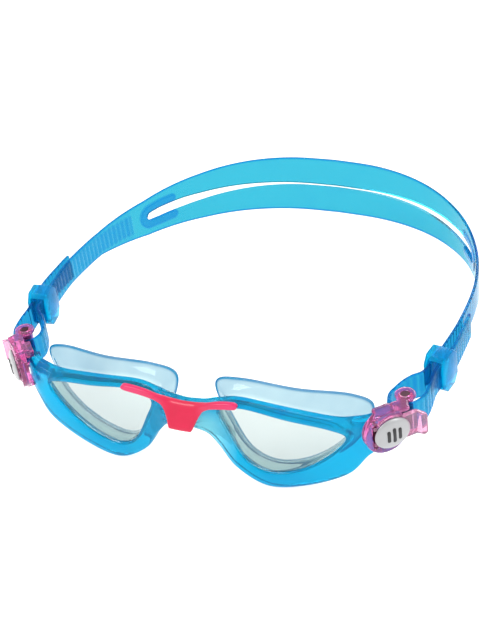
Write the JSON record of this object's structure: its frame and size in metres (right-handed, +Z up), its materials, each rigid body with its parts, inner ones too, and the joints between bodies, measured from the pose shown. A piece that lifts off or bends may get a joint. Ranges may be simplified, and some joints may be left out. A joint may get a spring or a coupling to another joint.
{
  "type": "swim goggles",
  "caption": "Wraparound swim goggles with clear lenses, soft face seal, slip-on nose bridge cover, split head strap and quick-release side buckles.",
  "frame": {"origin": "middle of the footprint, level with the lowest edge of the lens rims", "axes": "+X towards the wearer's left, +Y from the lenses to the back of the head, +Z up as worn"},
  "size_m": [0.1688, 0.1606, 0.0413],
  "materials": {
    "aqua_frame": "glossy translucent soft elastomer",
    "clear_seal": "clear silicone, satin",
    "clear_lens": "clear polycarbonate, polished",
    "pink_cover": "semi-gloss",
    "aqua_strap": "translucent silicone, satin",
    "rose_buckle": "translucent, glossy",
    "pearl_cap": "pearl silver, satin",
    "steel": "stainless, brushed"
  },
  "bodies": {
    "root": {"front_frame": "aqua_frame", "face_seal": "clear_seal", "lens_left": "clear_lens", "lens_right": "clear_lens", "bridge_cover": "pink_cover", "strap": "aqua_strap", "buckle_body_left": "rose_buckle", "buckle_body_right": "rose_buckle", "lever_pin_left": "steel", "lever_pin_right": "steel", "lever_spring_left": "steel", "lever_spring_right": "steel", "strap_pin_left": "steel", "strap_pin_right": "steel"},
    "lever_left": {"lever_left": "rose_buckle", "lever_cap_left": "pearl_cap"},
    "lever_right": {"lever_right": "rose_buckle", "lever_cap_right": "pearl_cap"},
    "roller_left": {"strap_roller_left": "rose_buckle"},
    "roller_right": {"strap_roller_right": "rose_buckle"},
    "keeper_left": {"strap_keeper_left": "aqua_strap"},
    "keeper_right": {"strap_keeper_right": "aqua_strap"}
  },
  "joints": [
    {"name": "lever_hinge_left", "type": "hinge", "parent": "root", "child": "lever_left", "pos_m": [0.06845, -0.06969, 0.02706], "axis": [0, 0, -1], "range_deg": [0, 14], "stiffness_Nm_per_rad": 0.004, "springref_deg": -34.38},
    {"name": "lever_hinge_right", "type": "hinge", "parent": "root", "child": "lever_right", "pos_m": [-0.06845, -0.06969, 0.02706], "axis": [0, 0, 1], "range_deg": [0, 14], "stiffness_Nm_per_rad": 0.004, "springref_deg": -34.38},
    {"name": "roller_turn_left", "type": "hinge", "parent": "root", "child": "roller_left", "pos_m": [0.0744, -0.05486, 0.02826], "axis": [0, 0, 1], "continuous": true},
    {"name": "roller_turn_right", "type": "hinge", "parent": "root", "child": "roller_right", "pos_m": [-0.0744, -0.05486, 0.02826], "axis": [0, 0, 1], "continuous": true},
    {"name": "keeper_slide_left", "type": "slide", "parent": "root", "child": "keeper_left", "axis": [0.1471, 0.9887, 0.0294], "range_m": [-0.002, 0.002]},
    {"name": "keeper_slide_right", "type": "slide", "parent": "root", "child": "keeper_right", "axis": [-0.1471, 0.9887, 0.0294], "range_m": [-0.002, 0.002]}
  ]
}
